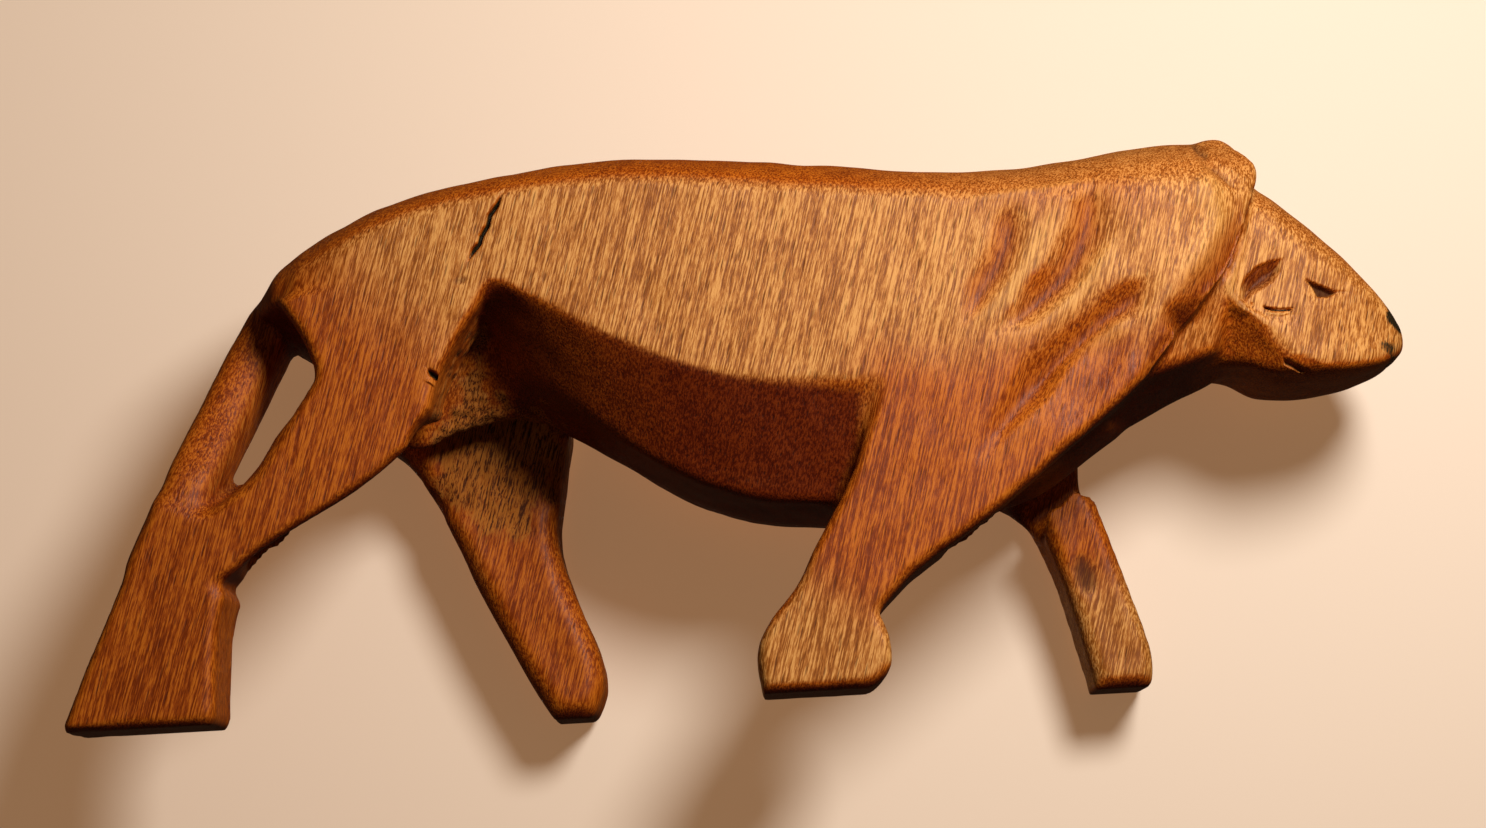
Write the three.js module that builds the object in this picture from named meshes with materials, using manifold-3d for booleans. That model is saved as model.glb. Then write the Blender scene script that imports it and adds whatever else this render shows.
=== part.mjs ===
// A small walking lion, whittled from one plank of hardwood, with its head low and one long stride.
// Millimetres. X runs from the tail to the nose, Z is up, and -Y is the side where the tail meets a leg.
// The origin is on the ground, under the middle of the figurine.

import * as THREE from "three";
import { ConvexGeometry } from "three/addons/geometries/ConvexGeometry.js";
import { mergeVertices } from "three/addons/utils/BufferGeometryUtils.js";
import Module from "manifold-3d";

const wasm = await Module();
wasm.setup();

// Driving dimensions of the plank and of the legs sawn from it.
const halfPlank = 13;
const legThickness = 9;
const legInnerFace = halfPlank - legThickness;
const legBevel = 0.6;
const sawAllowance = 20;

// The trunk, from the rump to the front of the mane.
const rumpX = -44.6;
const maneX = 50;
const trunkRings = 40;
const trunkSides = 28;
const backRoundness = 1.9;
const keelFlat = 0.06;

// The head, from the neck inside the mane to the nose.
const headX = 43.4;
const noseX = 60.5;
const headRings = 14;
const headSides = 20;
const headRoundness = 2.3;
const neckX = 30;
const neckRings = 8;

// The thigh of the outstretched leg is sawn at a slant, so its inner edge lies back and up.
const thighSlant = { back: 1.6, up: 1.7, fromZ: 12.4, toZ: 27, fade: 2 };

// The round locks over the brow, one on each side.
const lockRadius = 2.9;
const lockX = 43.9;
const lockY = 5;
const lockZ = 46.5;

// How far the straight cuts of a fold run into each other.
const foldOverlap = 0.15;

// Side views of the trunk, as [x, z], and plan views of it, as [x, y].
// The arris is the edge where the sloping underside of the flank meets the flat of the belly.
const crestLine = [
  [-44.6, 39.7], [-43.2, 41.5], [-41.1, 43.3], [-33.5, 47.3], [-22, 49.8], [-11, 50.9],
  [4.3, 49.8], [19.2, 48.1], [26.8, 48.2], [38, 49.7], [50, 50],
];
const flankTopLine = [
  [-44.6, 37.8], [-39.5, 39.2], [-30.3, 43.8], [-12.2, 46.3], [5.7, 44.5], [21.8, 42.9], [50, 43],
];
const flankLowLine = [
  [-44.6, 37.6], [-41, 37.2], [-38.3, 36.5], [-22.3, 38.2], [-12.8, 32.9], [-2.3, 28.5], [11.8, 27.4],
  [24, 27.5], [34, 31], [50, 37],
];
const arrisLine = [
  [-44.6, 37.1], [-38, 33.5], [-30, 34], [-24, 35], [-20.4, 31.7], [-15.1, 26.9], [-9.9, 22.6],
  [-2.5, 18.6], [6.8, 17], [16, 16.8], [26, 20.4], [36, 25.6], [50, 31],
];
const bellyLine = [
  [-44.6, 36.8], [-41.5, 35.4], [-38, 30.6], [-33, 25.4], [-27, 25], [-20, 27], [-13.8, 24],
  [-6.7, 19.7], [0.5, 16.8], [12, 16], [25.6, 17.3], [35.3, 23.5], [50, 29.6],
];
const trunkWidthLine = [
  [-44.6, 5.6], [-43, 9.4], [-41, 11.6], [-37, 12.8], [-28, 13], [20, 13], [34, 13], [39, 12.9],
  [42, 12.1], [46, 10.4], [50, 8.4],
];
const arrisWidthLine = [
  [-44.6, 4], [-38, 4.5], [-24, 4.2], [-20.4, 6.2], [-14, 8], [20, 8.2], [34, 8], [50, 6],
];

// Side views of the neck and the head, and plan views of them.
const neckTopLine = [[30, 43], [44, 44.5]];
const neckFlankLine = [[30, 31], [44, 35.5]];
const neckArrisLine = [[30, 24.6], [38, 27.4], [44, 29.6]];
const neckLowLine = [[30, 21], [35.3, 23.6], [40.2, 26], [44, 27.6]];
const neckWidthLine = [[30, 12], [36, 11.4], [40, 10.4], [44, 8.9]];
const neckArrisWidthLine = [[30, 10.4], [38, 9.4], [44, 7]];
const browLine = [
  [43.4, 46.6], [48, 45.2], [50.5, 43.1], [53.4, 40.4], [55.7, 37.9], [58.1, 34.9], [59.6, 32.5],
  [60.5, 30.9],
];
const chinLine = [
  [43.4, 28], [45.7, 27.7], [47.2, 26.8], [49, 26.2], [52.5, 26.1], [55, 26.4], [57.8, 27.1],
  [59.5, 27.9], [60.5, 28.8],
];
const headWidthLine = [[43.4, 8.6], [50, 8.3], [54, 7.5], [58, 6], [59.6, 5], [60.5, 3.8]];

// Smooth height or width along the figurine through a few [position, value] pairs.
function along(pairs) {
  const positions = pairs.map((pair) => pair[0]);
  const values = pairs.map((pair) => pair[1]);
  const curve = new THREE.CubicInterpolant(positions, values, 1);
  return (position) => curve.evaluate(position)[0];
}

// A closed mesh as a solid that can be joined and cut.
function toSolid(geometry) {
  geometry.deleteAttribute("normal");
  geometry.deleteAttribute("uv");
  const merged = mergeVertices(geometry, 1e-4);
  return new wasm.Manifold(new wasm.Mesh({
    numProp: 3,
    vertProperties: Float32Array.from(merged.attributes.position.array),
    triVerts: Uint32Array.from(merged.index.array),
  }));
}

// A cylinder whose every vertex is moved by place(share of the length, angle, is on the rim).
// The angle is 0 at -Y and a quarter turn at the top.
function reshapeCylinder(sides, rings, place) {
  const geometry = new THREE.CylinderGeometry(1, 1, 1, sides, rings, false, Math.PI / sides);
  const positions = geometry.attributes.position;
  const vertex = new THREE.Vector3();
  for (let index = 0; index < positions.count; index += 1) {
    vertex.fromBufferAttribute(positions, index);
    const share = vertex.y + 0.5;
    const onRim = Math.hypot(vertex.x, vertex.z) > 0.5;
    place(share, Math.atan2(vertex.z, vertex.x), onRim, vertex);
    positions.setXYZ(index, vertex.x, vertex.y, vertex.z);
  }
  return toSolid(geometry);
}

// A quarter of a rounded section: share 0 is at the flank, share 1 is at the middle.
function roundQuarter(share, halfWidth, flank, middle, roundness) {
  const turn = share * Math.PI * 0.47;
  const power = 2 / roundness;
  return [halfWidth * Math.cos(turn) ** power, flank + (middle - flank) * Math.sin(turn) ** power];
}

// A quarter of a section with two flat planes, which meet in an arris halfway.
function flatQuarter(share, halfWidth, flank, arrisWidth, arris, middle) {
  if (share <= 0.5) {
    return [
      THREE.MathUtils.lerp(halfWidth, arrisWidth, share * 2),
      THREE.MathUtils.lerp(flank, arris, share * 2),
    ];
  }
  const inward = (share * 2 - 1) * (1 - keelFlat);
  return [arrisWidth * (1 - inward), THREE.MathUtils.lerp(arris, middle, inward)];
}

// A long body with a flat flank on each side and a rounded back above it.
// Below it the underside is rounded, or it has two planes on each side where arris lines are given.
function longBody(body) {
  const halfSide = Math.PI / body.sides;
  return reshapeCylinder(body.sides, body.rings, (share, angle, onRim, vertex) => {
    const x = THREE.MathUtils.lerp(body.rear, body.front, share);
    const flankTop = body.flankTop(x);
    const flankLow = body.flankLow(x);
    const rise = Math.atan2(Math.abs(Math.sin(angle)), Math.abs(Math.cos(angle)));
    const turn = THREE.MathUtils.clamp((rise - halfSide) / (Math.PI / 2 - 2 * halfSide), 0, 1);
    const halfWidth = body.halfWidth(x);
    let place;
    if (Math.sin(angle) > 0) {
      place = roundQuarter(turn, halfWidth, flankTop, body.top(x), body.roundness);
    } else if (body.arris) {
      place = flatQuarter(turn, halfWidth, flankLow, body.arrisWidth(x), body.arris(x), body.bottom(x));
    } else {
      place = roundQuarter(turn, halfWidth, flankLow, body.bottom(x), body.roundness);
    }
    const [out, z] = onRim ? place : [0, (flankTop + flankLow) / 2];
    vertex.set(x, -Math.sign(Math.cos(angle)) * out, z);
  });
}

// A rod along a curve. sizes(share) gives its half sizes across Y and across the curve.
// Its section is round where fullness is 1, and nearer to a rectangle where that is less.
function rod(points, sides, rings, sizes, fullness = 1) {
  const curve = new THREE.CatmullRomCurve3(points.map((point) => new THREE.Vector3(...point)));
  const centre = new THREE.Vector3();
  const tangent = new THREE.Vector3();
  const across = new THREE.Vector3(0, -1, 0);
  const upward = new THREE.Vector3();
  const full = (value) => Math.sign(value) * Math.abs(value) ** fullness;
  return reshapeCylinder(sides, rings, (share, angle, onRim, vertex) => {
    curve.getPoint(share, centre);
    curve.getTangent(share, tangent);
    upward.crossVectors(across, tangent).normalize();
    const [wide, deep] = onRim ? sizes(share) : [0, 0];
    vertex.copy(centre);
    vertex.addScaledVector(across, wide * full(Math.cos(angle)));
    vertex.addScaledVector(upward, deep * full(Math.sin(angle)));
  });
}

// A board between two Y faces, sawn along an outline. Each run of [x, z] points is one smooth stroke.
function board(runs, nearFace, farFace, bevel, slant) {
  const shape = new THREE.Shape();
  shape.moveTo(...runs[0][0]);
  for (const run of runs) {
    if (run.length === 1) {
      shape.lineTo(...run[0]);
    } else {
      const points = run.map(([x, z]) => new THREE.Vector2(x, z));
      shape.splineThru(points[0].equals(shape.currentPoint) ? points.slice(1) : points);
    }
  }
  const geometry = new THREE.ExtrudeGeometry(shape, {
    depth: farFace - nearFace - 2 * bevel,
    curveSegments: 2,
    bevelEnabled: bevel > 0,
    bevelThickness: bevel,
    bevelSize: bevel,
    bevelOffset: -bevel,
    bevelSegments: 1,
  });
  geometry.rotateX(Math.PI / 2);
  geometry.translate(0, farFace - bevel, 0);
  if (slant) {
    const positions = geometry.attributes.position;
    for (let index = 0; index < positions.count; index += 1) {
      const z = positions.getZ(index);
      const rising = THREE.MathUtils.smoothstep(z, slant.fromZ, slant.fromZ + slant.fade);
      const fading = 1 - THREE.MathUtils.smoothstep(z, slant.toZ - slant.fade, slant.toZ);
      const lean = rising * fading * (positions.getY(index) - nearFace) / (farFace - nearFace);
      positions.setX(index, positions.getX(index) - slant.back * lean);
      positions.setZ(index, z + slant.up * lean);
    }
  }
  return toSolid(geometry);
}

const trunkWidth = along(trunkWidthLine);
const trunkLines = {
  top: along(crestLine),
  flankTop: along(flankTopLine),
  flankLow: along(flankLowLine),
  arris: along(arrisLine),
  arrisWidth: along(arrisWidthLine),
  bottom: along(bellyLine),
  halfWidth: (x) => Math.min(halfPlank, trunkWidth(x)),
};

function trunk() {
  return longBody({
    ...trunkLines,
    rear: rumpX,
    front: maneX,
    sides: trunkSides,
    rings: trunkRings,
    roundness: backRoundness,
  });
}

// How far the trunk's side stands from the middle plane, at a place on its side view.
function trunkSide(x, z) {
  const flankTop = trunkLines.flankTop(x);
  const over = Math.max(0, z - flankTop) / (trunkLines.top(x) - flankTop);
  return trunkLines.halfWidth(x) * Math.max(0, 1 - over ** backRoundness) ** (1 / backRoundness);
}

// Everything in front of the slanting edge where the mane ends and the face begins.
function faceClearance() {
  const front = maneX + sawAllowance;
  const maneEdge = [
    [32, 23], [34, 25.3], [38.4, 30], [42.4, 34.4], [44.8, 38.2], [46.4, 42], [47.5, 44.8], [47.4, 46],
  ];
  const outline = [maneEdge, [[45.2, 48.9]], [[43, 52]], [[front, 52]], [[front, 23]], [[32, 23]]];
  return board(outline, -sawAllowance, sawAllowance, 0);
}

function neck() {
  return longBody({
    rear: neckX,
    front: headX + 0.6,
    sides: headSides,
    rings: neckRings,
    top: along(neckTopLine),
    flankTop: (x) => along(neckTopLine)(x) - 5,
    flankLow: along(neckFlankLine),
    arris: along(neckArrisLine),
    arrisWidth: along(neckArrisWidthLine),
    bottom: along(neckLowLine),
    halfWidth: along(neckWidthLine),
    roundness: headRoundness,
  });
}

function head() {
  const top = along(browLine);
  const bottom = along(chinLine);
  return longBody({
    rear: headX,
    front: noseX,
    sides: headSides,
    rings: headRings,
    top,
    bottom,
    flankTop: (x) => THREE.MathUtils.lerp(top(x), bottom(x), 0.3),
    flankLow: (x) => THREE.MathUtils.lerp(top(x), bottom(x), 0.92),
    halfWidth: along(headWidthLine),
    roundness: headRoundness,
  });
}

function browLock(side) {
  const geometry = new THREE.SphereGeometry(lockRadius, 16, 10);
  geometry.translate(lockX, side * lockY, lockZ);
  return toSolid(geometry);
}

// The hind leg on the -Y side is stretched back, and its foot is sawn flush with the plank.
function nearHindLeg() {
  return board([
    [[-22.1, 38.2], [-24.1, 35.2], [-27.1, 30.3], [-28.4, 26.4], [-30.3, 23.2]],
    [[-34, 20.3], [-38.1, 17.9], [-42.8, 15.3], [-45.7, 13.2]],
    [[-47.6, 12.2]],
    [[-46.7, 11.5]],
    [[-47.5, 8], [-48, 0]],
    [[-61.4, 0]],
    [[-57.2, 9.8], [-55.1, 14.8], [-52.6, 20.2]],
    [[-48.4, 18.6]],
    [[-46.7, 19.3], [-43.8, 21.7], [-41.4, 25.4], [-39.6, 28.2], [-38.4, 29.9]],
    [[-38.4, 31.4], [-39.7, 34.4], [-41.6, 37.5]],
    [[-36, 38.9]],
    [[-25, 39.8]],
  ], -halfPlank, -legInnerFace, legBevel, thighSlant);
}

// The shoulder and foreleg on the -Y side run down from the mane's lower edge.
function nearForeleg() {
  return board([
    [[12, 27.4], [8.6, 18.3], [5.4, 13], [3.3, 9.2], [1, 6.6], [-0.4, 3.6], [0, 0]],
    [[9.4, 0]],
    [[11.1, 1.7], [11.2, 4.3], [10.4, 6.7]],
    [[14.5, 10.5], [20.2, 14.1], [27.2, 19.5], [34.2, 25], [38.4, 29.9]],
    [[37, 33]],
    [[28, 34]],
    [[14, 34]],
  ], -halfPlank, -legInnerFace, legBevel);
}

function farHindLeg() {
  return board([
    [[-36, 28], [-32.2, 24.8], [-29.2, 19.5], [-26.4, 13], [-22.7, 5.4], [-19.6, 0]],
    [[-16, 0]],
    [[-14.9, 2.6], [-15.2, 6], [-17.4, 12], [-18.6, 17], [-17.9, 22], [-17, 27]],
    [[-18, 36]],
    [[-34, 36]],
  ], legInnerFace, halfPlank, legBevel * 2);
}

function farForeleg() {
  return board([
    [[14, 30], [21, 20], [26, 16.6], [28.3, 11.2], [29.6, 6.4], [31, 0]],
    [[36, 0]],
    [[36.4, 2.6], [35.4, 6.6], [33.4, 13.4], [31.4, 19.6]],
    [[31.4, 26]],
    [[28, 34]],
    [[16, 34]],
  ], legInnerFace, halfPlank, legBevel * 1.5);
}

// The tail leaves the rump on the middle plane and swings over to lie against the outstretched leg.
function tail() {
  const path = [
    [-38, -1, 41.5], [-42.8, -1.2, 38.2], [-45, -2.4, 34.2], [-47.6, -5, 28], [-49.9, -8.2, 21.8],
    [-51.4, -8.9, 17.6], [-53.2, -8.9, 13],
  ];
  return rod(path, 16, 14, (share) => [4, THREE.MathUtils.lerp(2.3, 2.5, share)], 0.6);
}

// A flat knife cut, whose body is the hull of its corners.
function wedge(corners) {
  return toSolid(new ConvexGeometry(corners.map((corner) => new THREE.Vector3(...corner))));
}

// A small round gouge drawn along points of the side view, deepest halfway and running out at both ends.
function gouge(at, wide, bite, side) {
  const swell = (share) => THREE.MathUtils.lerp(0.3, 1, Math.sin(Math.PI * share));
  const deep = wide * 0.6;
  const path = at.map(([x, z], index) => {
    const share = swell(index / (at.length - 1));
    return [x, side * (trunkSide(x, z) + (deep - bite) * share), z];
  });
  return rod(path, 12, 12, (share) => [deep * swell(share), wide * swell(share)]);
}

// A fold of the mane, drawn down to the rear. It has a steep side above its line and a gentle one below.
function foldCut(fold, side) {
  const last = fold.at.length - 1;
  const sections = fold.at.map(([x, z], index) => {
    const before = fold.at[Math.max(0, index - 1)];
    const after = fold.at[Math.min(last, index + 1)];
    const length = Math.hypot(after[0] - before[0], after[1] - before[1]);
    const swell = THREE.MathUtils.lerp(0.15, 1, Math.sin(Math.PI * index / last) ** 0.7);
    const heading = [(after[0] - before[0]) / length, (after[1] - before[1]) / length];
    return (shift) => {
      const corner = (reach, rise) => {
        const cornerX = x - heading[1] * reach + heading[0] * shift;
        const cornerZ = z + heading[0] * reach + heading[1] * shift;
        return [cornerX, side * (trunkSide(cornerX, cornerZ) + rise), cornerZ];
      };
      return [
        corner(0, -fold.bite * swell),
        corner(-fold.above * swell, 0),
        corner(-fold.above * swell, 3),
        corner(fold.below * swell, 0),
        corner(fold.below * swell, 3),
      ];
    };
  });
  return sections.slice(1).map((section, index) => {
    return wedge([...sections[index](-foldOverlap), ...section(foldOverlap)]);
  });
}

function maneCuts() {
  const folds = [
    { above: 2.3, below: 4, bite: 0.9, at: [
      [31.2, 44.4], [31.6, 42.6], [31.4, 39.9], [30.2, 37.6], [28.8, 35.4], [26.9, 33.8], [24.7, 32],
      [21.6, 30.2],
    ] },
    { above: 2.6, below: 3.6, bite: 1.1, at: [
      [37.2, 35], [35, 33.4], [32.4, 31.6], [30.7, 30.2], [27.9, 28], [25.9, 26], [24.5, 24.6], [22.7, 22.8],
      [19.6, 19],
    ] },
    { above: 1.8, below: 3, bite: 0.5, at: [
      [24.8, 43], [24.5, 41.8], [23.9, 38.8], [23.1, 37], [21.8, 35.3], [20.7, 33.2], [18.6, 29.6],
    ] },
  ];
  const behindBrowLock = [[41.2, 49.6], [42, 48], [43.2, 46], [44.5, 44.2], [45.6, 42.9]];
  return [
    ...folds.flatMap((fold) => foldCut(fold, -1)),
    ...folds.slice(0, 2).flatMap((fold) => foldCut(fold, 1)),
    ...[-1, 1].map((side) => gouge(behindBrowLock, 1.1, 0.6, side)),
  ];
}

// Hollows under the mane's lower edges, beside the keel of the chest.
function chestHollow(side) {
  const y = side * 7;
  return rod([[18, y, 11], [26, y, 16.6], [35, y, 22.4], [44, y * 0.9, 25.6]], 12, 10, () => [3.2, 2.4]);
}

// The ear, the eye, the mouth's corner, and the notch that parts the jaw from the throat.
function faceCuts(side) {
  const cheek = side * 8.5;
  const ear = [[49.4, 36.6], [47.2, 35.7], [46, 34.4], [45.9, 33.3], [47.1, 32.5], [50, 32]];
  const [nearEnd, farEnd] = side < 0 ? [-1, 0] : [0, 1];
  const reach = (depth, end) => (end ? end * halfPlank : side * depth);
  const notch = (run, depth) => board([run], reach(depth, nearEnd), reach(depth, farEnd), 0);
  const throat = [
    [44.2, 8.9, 34.4], [43, 2.2, 24.5], [37.5, 12.4, 22], [51.8, 8.3, 25.2], [44.2, 14, 36], [37.5, 14, 22],
    [51.8, 14, 25.2],
  ];
  return [
    wedge(throat.map(([x, y, z]) => [x, side * y, z])),
    rod(ear.map(([x, z]) => [x, cheek, z]), 8, 14, () => [0.6, 0.6]),
    notch([[51.2, 34.8], [53.9, 33.5], [51.6, 33]], 6.9),
    notch([[49.1, 27.6], [51.4, 24], [49.9, 24]], 5.4),
  ];
}

function carve() {
  const sides = [-1, 1];
  const mane = trunk().subtract(faceClearance());
  const parts = [neck(), head(), nearHindLeg(), nearForeleg(), farHindLeg(), farForeleg(), tail()];
  const blank = [...parts, ...sides.map(browLock)].reduce((whole, piece) => whole.add(piece), mane);
  const cuts = [...maneCuts(), ...sides.map(chestHollow), ...sides.flatMap(faceCuts)];
  const carved = cuts.reduce((whole, cutter) => whole.subtract(cutter), blank);
  const ground = new THREE.BoxGeometry(200, 60, sawAllowance);
  ground.translate(0, 0, -sawAllowance / 2);
  return carved.subtract(toSolid(ground));
}

function toGeometry(solid) {
  const mesh = solid.getMesh();
  const geometry = new THREE.BufferGeometry();
  geometry.setAttribute("position", new THREE.BufferAttribute(mesh.vertProperties, mesh.numProp));
  geometry.setIndex(new THREE.BufferAttribute(mesh.triVerts, 1));
  geometry.computeVertexNormals();
  return geometry;
}

const oiledWood = new THREE.MeshStandardMaterial({ color: 0x9c5a20, roughness: 0.5, metalness: 0 });

const lion = new THREE.Mesh(toGeometry(carve()), oiledWood);
lion.name = "lion";
lion.geometry.computeBoundingBox();
lion.position.x = -(lion.geometry.boundingBox.min.x + lion.geometry.boundingBox.max.x) / 2;

const figurine = new THREE.Group();
figurine.add(lion);

export default figurine;
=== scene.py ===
# A small lion whittled from one plank of hardwood, oiled and rubbed by hand.
# Sizes are millimetres in the figurine's own frame, and Blender's metres are made at the end.
import math

import bmesh
import bpy
import numpy as np
from mathutils import Matrix, Vector


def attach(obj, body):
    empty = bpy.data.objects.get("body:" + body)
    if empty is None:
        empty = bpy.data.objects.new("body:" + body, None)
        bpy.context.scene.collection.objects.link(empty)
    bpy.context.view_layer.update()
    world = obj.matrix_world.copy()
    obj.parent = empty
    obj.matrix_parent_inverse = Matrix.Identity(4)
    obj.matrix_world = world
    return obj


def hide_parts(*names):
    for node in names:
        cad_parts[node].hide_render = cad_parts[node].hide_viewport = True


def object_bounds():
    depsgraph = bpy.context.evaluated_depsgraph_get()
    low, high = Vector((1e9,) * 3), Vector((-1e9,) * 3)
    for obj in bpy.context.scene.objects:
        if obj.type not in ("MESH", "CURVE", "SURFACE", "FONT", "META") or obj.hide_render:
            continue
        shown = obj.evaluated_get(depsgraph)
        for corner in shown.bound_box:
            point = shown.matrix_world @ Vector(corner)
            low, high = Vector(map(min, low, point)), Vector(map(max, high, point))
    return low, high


mm = 0.001

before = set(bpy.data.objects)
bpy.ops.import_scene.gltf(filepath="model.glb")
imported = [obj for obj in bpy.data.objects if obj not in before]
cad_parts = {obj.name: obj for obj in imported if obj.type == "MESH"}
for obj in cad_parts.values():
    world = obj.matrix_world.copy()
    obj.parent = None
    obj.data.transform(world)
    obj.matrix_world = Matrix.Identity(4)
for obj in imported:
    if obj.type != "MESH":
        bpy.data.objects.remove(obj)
cadBox = [list(corner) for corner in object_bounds()]
print("frame loaded")


# The photograph looks at the lion's right side from a little below, with a slight roll.
photoView = {
    "target": (-0.05, -13.0, 24.7),
    "distance": 250.0,
    "rise": -10.0,
    "roll": 3.2,
    "lens": 68.56,
    "sensor": 36.0,
    "clip": (0.01, 20),  # metres
}


def setCamera():
    camera = bpy.data.objects.new("camera", bpy.data.cameras.new("camera"))
    bpy.context.scene.collection.objects.link(camera)
    rise = math.radians(photoView["rise"])
    roll = math.radians(photoView["roll"])
    back = Vector((0, -math.cos(rise), math.sin(rise)))
    level = Vector((1, 0, 0))
    upward = back.cross(level)
    right = level * math.cos(roll) - upward * math.sin(roll)
    up = level * math.sin(roll) + upward * math.cos(roll)
    turn = Matrix((right, up, back)).transposed().to_4x4()
    place = (Vector(photoView["target"]) + back * photoView["distance"]) * mm
    camera.matrix_world = Matrix.Translation(place) @ turn
    camera.data.sensor_width = photoView["sensor"]
    camera.data.lens = photoView["lens"]
    camera.data.clip_start, camera.data.clip_end = photoView["clip"]
    bpy.context.scene.camera = camera
    print("camera set")


# A socket of a material. Expressions on it add Math nodes.
class Shade:
    def __init__(self, tree, socket=None):
        self.tree = tree
        self.socket = socket

    def node(self, kind, settings=None, inputs=None, output=0):
        made = self.tree.nodes.new(kind)
        for name, value in (settings or {}).items():
            setattr(made, name, value)
        for name, value in (inputs or {}).items():
            if isinstance(value, Shade):
                self.tree.links.new(value.socket, made.inputs[name])
            else:
                made.inputs[name].default_value = value
        return Shade(self.tree, made.outputs[output] if made.outputs else None)

    def math(self, operation, *values):
        return self.node("ShaderNodeMath", {"operation": operation}, dict(enumerate(values)))

    def __add__(self, other):
        return self.math("ADD", self, other)

    def __sub__(self, other):
        return self.math("SUBTRACT", self, other)

    def __rsub__(self, other):
        return self.math("SUBTRACT", other, self)

    def __mul__(self, other):
        return self.math("MULTIPLY", self, other)

    __radd__ = __add__
    __rmul__ = __mul__

    # A soft step from 0 at low to 1 at high.
    def step(self, low, high):
        settings = {"interpolation_type": "SMOOTHSTEP"}
        inputs = {"Value": self, "From Min": low, "From Max": high}
        return self.node("ShaderNodeMapRange", settings, inputs)

    def stretched(self, sizes):
        scale = tuple(1 / size for size in sizes)
        return self.node("ShaderNodeVectorMath", {"operation": "MULTIPLY"}, {0: self, 1: scale})

    def noise(self, sizes, detail, roughness, distortion):
        inputs = {"Vector": self.stretched(sizes), "Scale": 1.0, "Detail": detail}
        inputs.update({"Roughness": roughness, "Distortion": distortion})
        return self.node("ShaderNodeTexNoise", {"noise_dimensions": "3D"}, inputs)

    def cells(self, sizes):
        inputs = {"Vector": self.stretched(sizes), "Scale": 1.0, "Randomness": 1.0}
        return self.node("ShaderNodeTexVoronoi", {"feature": "F1"}, inputs)

    # This colour where share is 0, and another where it is 1, or the product of both.
    def toward(self, colour, share, blend="MIX"):
        settings = {"data_type": "RGBA", "blend_type": blend}
        inputs = {"Factor": share, 6: self, 7: (*colour, 1)}
        return self.node("ShaderNodeMix", settings, inputs, output=2)


def newMaterial(name):
    material = bpy.data.materials.new(name)
    material.use_nodes = True
    tree = material.node_tree
    tree.nodes.clear()
    return material, Shade(tree)


woodLook = {
    "grainLean": 16.0,  # degrees between the grain and straight up
    "roughness": 0.44,
    "specular": 0.20,
    "warm": (0.46, 0.160, 0.026),
    "deep": (0.24, 0.065, 0.005),
    "pale": (0.74, 0.36, 0.100),
    "pore": (0.080, 0.018, 0.001),
    # Pale for rubbed wear and for painted highlight on crests, rims and the lips below cracks.
    "wearAndHighlight": (0.78, 0.43, 0.12),
    # Red painted shade.
    "redShade": (0.74, 0.40, 0.08),  # this and the next are multiplied with the wood
    # Darker painted shade, also standing for the oil in the hollows.
    "shadeAndOil": (0.26, 0.09, 0.03),
    # Near-black painted shade in pits, notches and the mouth, also the dark of the knot.
    "pitShadeAndKnot": (0.040, 0.009, 0.001),
    "black": (0.018, 0.012, 0.004),
    "fibre": (0.36, 0.145, 0.022),
    "fibreGap": (0.035, 0.010, 0.001),
    "deepToWarm": (0.20, 0.52),  # tones between which one colour gives way to the next
    "warmToPale": (0.46, 0.80),
    "wearAndHighlightShare": (0.4, 0.5),  # everywhere that is pale with wear and painted highlight, and more on the light streaks
    "poreShare": 0.6,
    "fibreShare": 0.6,
    "fibreGapShare": 0.8,
    "blackRagged": 0.35,
    "blackEdge": (0.3, 0.7),
    "reliefStrength": 0.45,
    "reliefHeight": 0.05,
}

# The figure of the wood, from its rings down to its fibres. The last size runs along the grain.
woodFigure = {
    "rings": {"sizes": (7, 9, 90), "detail": 2, "roughness": 0.5, "distortion": 0.3,
              "step": (0.34, 0.68), "share": 0.08},
    "bands": {"sizes": (0.9, 1.3, 30), "detail": 2, "roughness": 0.5, "distortion": 0.0,
              "step": (0.3, 0.7), "share": 0.14},
    "streaks": {"sizes": (0.16, 0.18, 4.6), "detail": 3, "roughness": 0.6, "distortion": 0.0,
                "step": (0.37, 0.63), "share": 0.46},
    "grit": {"sizes": (0.12, 0.12, 0.85), "detail": 2, "roughness": 0.6, "distortion": 0.0,
             "step": (0.34, 0.66), "share": 0.32},
}
openPores = {"sizes": (0.36, 0.38, 3.0), "step": (0.10, 0.28)}


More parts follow.
